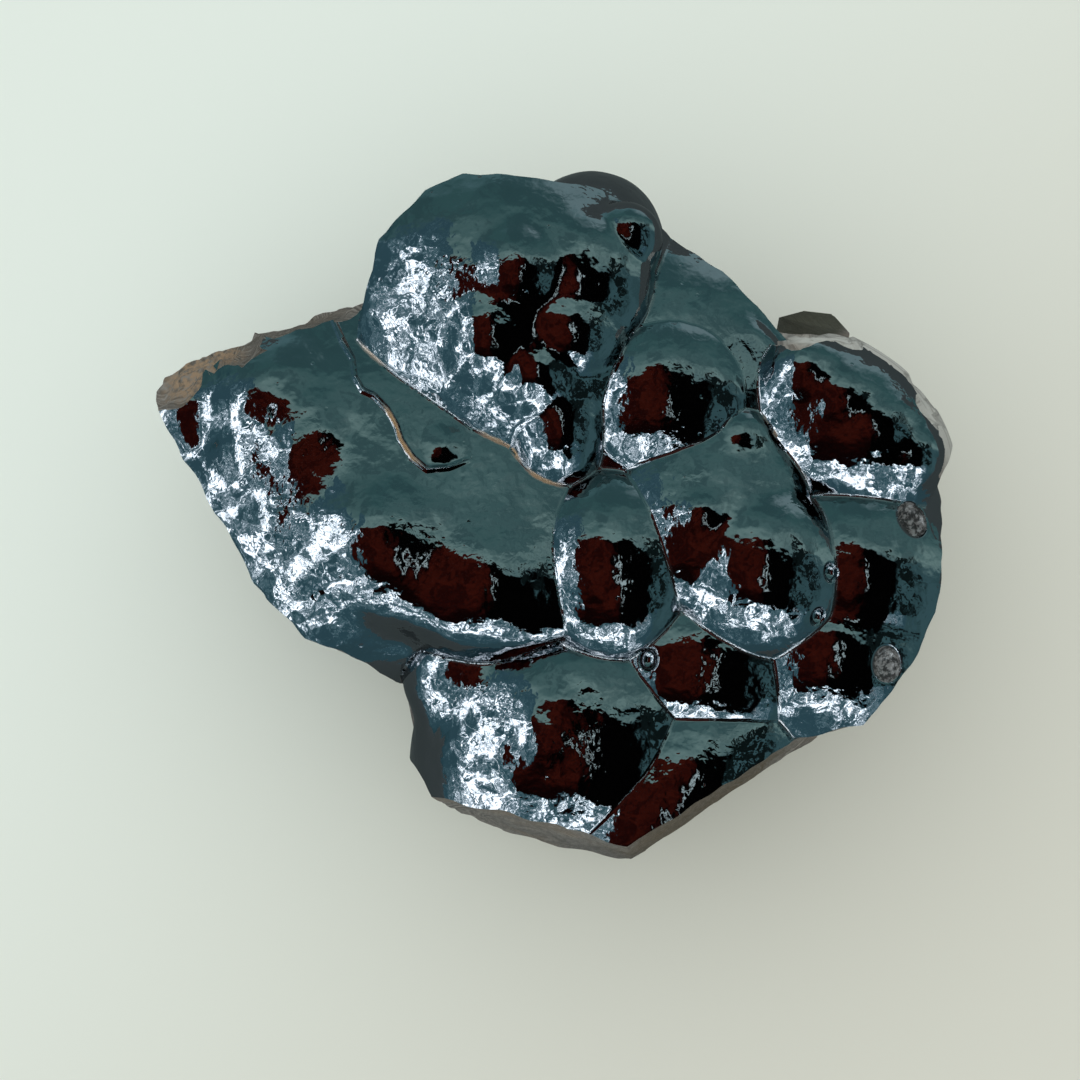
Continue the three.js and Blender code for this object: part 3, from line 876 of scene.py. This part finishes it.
# ---------------------------------------------------------------- floor and light
def floor_object():
    mesh = bpy.data.meshes.new("floor")
    size = 3.0
    corners = [(-size, -size, 0), (size, -size, 0), (size, size, 0), (-size, size, 0)]
    mesh.from_pydata(corners, [], [(0, 1, 2, 3)])
    ob = bpy.data.objects.new("floor", mesh)
    scene.collection.objects.link(ob)
    material, net, place = new_material("paper")
    parts = net.node("ShaderNodeSeparateXYZ")
    net.set(parts.inputs[0], place)
    # painted shade: the floor is pale green-white to the upper left and darker warm grey to the lower right,
    # the fall-off of the light painted into its colour
    along = net.sub(net.mul(parts.outputs["X"], 0.75), net.mul(parts.outputs["Y"], 0.7))
    shade = net.ramp(along, -0.07, 0.08)
    tone = net.mix(shade, rgb(0.83, 0.91, 0.85), rgb(0.73, 0.74, 0.66))
    # painted shade: rays reflected off the stone see the floor as dark teal grey, the floor's shade beside
    # the stone painted in
    rays = net.node("ShaderNodeLightPath")
    tone = net.mix(rays.outputs["Is Glossy Ray"], tone, rgb(0.10, 0.125, 0.125))
    net.surface(tone, 0.9, specular=0.2)
    mesh.materials.append(material)


floor_object()


def studio():
    world = bpy.data.worlds.new("studio")
    scene.world = world
    world.use_nodes = True
    net = Net(world.node_tree)
    way = net.node("ShaderNodeTexCoord").outputs["Generated"]
    parts = net.node("ShaderNodeSeparateXYZ")
    net.set(parts.inputs[0], way)
    x, y, z = parts.outputs
    below = net.mul(net.add(net.larger(z, -0.95), 1.0), SQUASH)
    u = net.math("DIVIDE", x, below)
    v = net.math("DIVIDE", y, below)
    plan = net.node("ShaderNodeCombineXYZ")
    net.set(plan.inputs[0], u)
    net.set(plan.inputs[1], v)
    flat = plan.outputs[0]
    torn = net.sub(net.noise(flat, 4.5, 5, 0.6), 0.5)
    torn2 = net.sub(net.noise(net.shift(flat, (3, 1, 7)), 6.5, 5, 0.6), 0.5)

    def moved(value, wobble, amount):
        return net.add(value, net.mul(wobble, amount))

    def band(value, low, high, soft, soft_high=None):
        rise = net.ramp(value, low - soft, low + soft)
        soft_high = soft if soft_high is None else soft_high
        return net.mul(rise, net.ramp(value, high - soft_high, high + soft_high, 1.0, 0.0))

    # the dim room: palest close to the opening overhead
    tone = net.mix(net.ramp(v, 0.40, 0.58, smooth=False), rgb(0.37, 0.58, 0.54), rgb(0.17, 0.33, 0.32))
    tone = net.mix(net.ramp(v, 0.55, 0.95), tone, rgb(0.085, 0.215, 0.215))
    tone = net.mix(net.ramp(v, 1.0, 1.6), tone, rgb(0.17, 0.34, 0.36))
    tone = net.mix(net.ramp(v, 0.42, 0.2), tone, rgb(0.10, 0.22, 0.24))
    cloud = net.noise(net.shift(flat, (1, 4, 2)), 3.2, 4, 0.55)
    tone = net.mix(net.mul(net.ramp(cloud, 0.42, 0.62), 0.65), tone, rgb(0.065, 0.155, 0.165))
    far_west = net.ramp(moved(u, torn, 0.35), -0.85, -1.2)
    tone = net.mix(far_west, tone, rgb(0.05, 0.135, 0.16))
    far_south = net.ramp(moved(v, torn, 0.35), -0.75, -1.1)
    tone = net.mix(far_south, tone, rgb(0.07, 0.16, 0.19))
    corner_light = net.ramp(moved(u, torn, 0.3), 0.1, 0.5)
    corner_light = net.mul(corner_light, net.ramp(moved(v, torn2, 0.3), 0.95, 1.25))
    tone = net.mix(net.mul(corner_light, 0.7), tone, rgb(0.42, 0.60, 0.62))

    # crinkled bright sheets to the west and south, seen as scattered glints
    west = band(moved(u, torn, 0.3), -1.25, -0.43, 0.5, 0.03)
    west = net.mul(west, band(moved(v, torn2, 0.5), -0.95, 0.55, 0.35))
    south = band(moved(v, torn, 0.25), -1.05, -0.42, 0.42, 0.03)
    south = net.mul(south, band(moved(u, torn2, 0.3), -0.8, 0.70, 0.25))
    panel = net.larger(west, south)
    field = net.noise(net.shift(flat, (2.3, 6.1, 3)), 1.9, 2, 0.5, 0.8)
    grain = net.noise(flat, 5.5, 7, 0.68, 0.9)
    streak = net.noise(net.shift(flat, (5, 5, 5)), 30, 5, 0.75, 1.2)
    foil = net.add(net.mul(grain, 0.50), net.mul(streak, 0.25))
    foil = net.add(foil, net.mul(field, 0.25))
    foil = net.add(foil, net.ramp(panel, 0.0, 1.0, -0.115, -0.026))
    sheet = net.node("ShaderNodeValToRGB")
    net.set(sheet.inputs[0], net.ramp(foil, 0.424, 0.576, smooth=False))
    stops = sheet.color_ramp.elements
    stops[0].position, stops[0].color = 0.0, rgb(0.014, 0.034, 0.042)
    stops[1].position, stops[1].color = 1.0, rgb(1.0, 1.0, 1.0)
    for spot, *colour in ((0.26, 0.034, 0.068, 0.078), (0.46, 0.09, 0.125, 0.142),
                          (0.58, 0.24, 0.285, 0.315), (0.70, 0.9, 0.96, 1.0)):
        stops.new(spot).color = rgb(*colour)
    bright = net.node("ShaderNodeVectorMath", operation="SCALE")
    net.set(bright.inputs[0], sheet.outputs[0])
    bright.inputs["Scale"].default_value = 5.2
    tone = net.mix(net.ramp(panel, 0.02, 0.25), tone, bright.outputs[0])

    # the dark opening overhead: a red-brown shape, a pale gap and a black shape
    top = net.mul(net.larger(net.sub(u, 0.12), 0.0), 0.42)
    reach = net.add(moved(v, torn2, 0.16), top)
    across = band(moved(u, torn, 0.13), *OPENING_U, 0.012, 0.05)
    opening = net.mul(across, band(reach, *OPENING_V, 0.015))
    bits = net.ramp(net.noise(net.shift(flat, (9, 2, 4)), 6, 4, 0.6), 0.47, 0.51)
    loose = band(moved(u, torn, 0.2), 0.5, 0.98, 0.03, 0.08)
    loose = net.mul(loose, band(moved(v, torn2, 0.25), -0.45, 0.45, 0.04))
    tone = net.mix(net.mul(loose, bits), tone, rgb(0.01, 0.02, 0.02))
    stain = net.noise(net.shift(flat, (2, 8, 1)), 5, 4, 0.6)
    red = net.mix(net.ramp(stain, 0.38, 0.6), rgb(0.095, 0.014, 0.008), rgb(0.032, 0.005, 0.004))
    red = net.mix(net.ramp(moved(v, torn2, 0.3), -0.10, -0.34), red, rgb(0.010, 0.002, 0.002))
    red_side = net.ramp(moved(u, torn2, 0.34), 0.0, 0.09, 1.0, 0.0)
    dark = net.mix(red_side, rgb(0.001, 0.001, 0.001), red)
    gap = net.mul(band(moved(u, torn2, 0.3), 0.10, 0.15, 0.012), band(moved(v, torn, 0.4), -0.16, 0.2, 0.03))
    gap = net.mul(gap, net.ramp(streak, 0.44, 0.54))
    dark = net.mix(gap, dark, rgb(0.9, 1.1, 1.1))
    tone = net.mix(opening, tone, dark)
    spread = net.math("SQRT", net.add(net.mul(u, u), net.mul(v, v)))
    tone = net.mix(net.ramp(spread, 1.7, 2.1), tone, rgb(0.1, 0.15, 0.16))

    rays = net.node("ShaderNodeLightPath")
    mirror = net.node("ShaderNodeBackground")
    net.set(mirror.inputs["Color"], tone)
    soft = net.node("ShaderNodeBackground")
    lean = net.add(net.mul(x, -0.22), net.mul(y, 0.16))
    lean = net.ramp(lean, -0.25, 0.25, smooth=False)
    soft_tone = net.mix(lean, rgb(0.58, 0.57, 0.54), rgb(1.24, 1.27, 1.27))
    net.set(soft.inputs["Color"], soft_tone)
    soft.inputs["Strength"].default_value = 1.0
    pale = net.node("ShaderNodeBackground")
    pale.inputs["Color"].default_value = rgb(0.72, 0.78, 0.75)
    choose = net.node("ShaderNodeMixShader")
    net.set(choose.inputs[0], rays.outputs["Is Glossy Ray"])
    net.set(choose.inputs[1], soft.outputs[0])
    net.set(choose.inputs[2], mirror.outputs[0])
    last = net.node("ShaderNodeMixShader")
    net.set(last.inputs[0], rays.outputs["Is Camera Ray"])
    net.set(last.inputs[1], choose.outputs[0])
    net.set(last.inputs[2], pale.outputs[0])
    out = net.node("ShaderNodeOutputWorld")
    net.set(out.inputs["Surface"], last.outputs[0])


studio()

# ---------------------------------------------------------------- camera
ELEVATION = math.radians(84)
DISTANCE = 0.300
target = Vector((-1.4 + SEAT[0], -3.0 + SEAT[1], 30.0)) * MM
away = Vector((0, -math.cos(ELEVATION), math.sin(ELEVATION)))
lens = bpy.data.cameras.new("camera")
lens.sensor_width = 36
lens.lens = 18 / (HALF_FRAME / DISTANCE)
lens.clip_start = 0.01
lens.clip_end = 50
camera = bpy.data.objects.new("camera", lens)
scene.collection.objects.link(camera)
camera.location = target + away * DISTANCE
camera.rotation_euler = (math.pi / 2 - ELEVATION, 0, 0)
scene.camera = camera
scene.view_settings.view_transform = "Standard"
